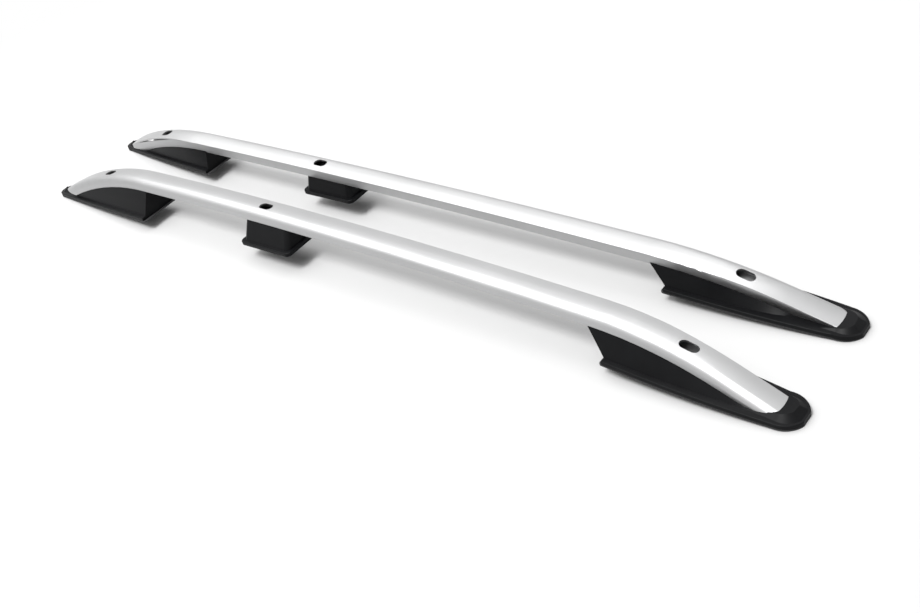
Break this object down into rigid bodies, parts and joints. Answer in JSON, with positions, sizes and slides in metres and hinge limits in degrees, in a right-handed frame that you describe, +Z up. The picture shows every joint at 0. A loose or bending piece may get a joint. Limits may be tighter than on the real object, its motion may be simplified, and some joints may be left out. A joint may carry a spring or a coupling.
{
  "type": "roof side rail pair",
  "caption": "Pair of leaning aluminium roof side rails, bent down at both ends, on black end and middle feet, with oblong slots in the top for the mounting screws.",
  "frame": {"origin": "bottom centre of the overall box of both rails", "axes": "+X along the rails towards their long tapered feet (the front ends), +Y from the right rail to the left rail, +Z up, away from the roof"},
  "size_m": [1.504, 0.2326, 0.087],
  "materials": {
    "rail_aluminium": "satin anodised with fine lengthwise grain",
    "foot_plastic": "satin black moulded plastic",
    "gasket_rubber": "matte",
    "sleeve_steel": "zinc plated",
    "screw_steel": "zinc plated"
  },
  "bodies": {
    "root": {"right_rail_extrusion": "rail_aluminium", "right_front_foot": "foot_plastic", "right_middle_foot": "foot_plastic", "right_rear_foot": "foot_plastic", "right_front_gasket": "gasket_rubber", "right_rear_gasket": "gasket_rubber", "right_front_spacer": "sleeve_steel", "right_middle_spacer": "sleeve_steel", "right_rear_spacer": "sleeve_steel", "right_front_foot_screws": "screw_steel", "right_middle_foot_screws": "screw_steel", "right_rear_foot_screws": "screw_steel", "left_rail_extrusion": "rail_aluminium", "left_front_foot": "foot_plastic", "left_middle_foot": "foot_plastic", "left_rear_foot": "foot_plastic", "left_front_gasket": "gasket_rubber", "left_rear_gasket": "gasket_rubber", "left_front_spacer": "sleeve_steel", "left_middle_spacer": "sleeve_steel", "left_rear_spacer": "sleeve_steel", "left_front_foot_screws": "screw_steel", "left_middle_foot_screws": "screw_steel", "left_rear_foot_screws": "screw_steel"}
  },
  "joints": []
}
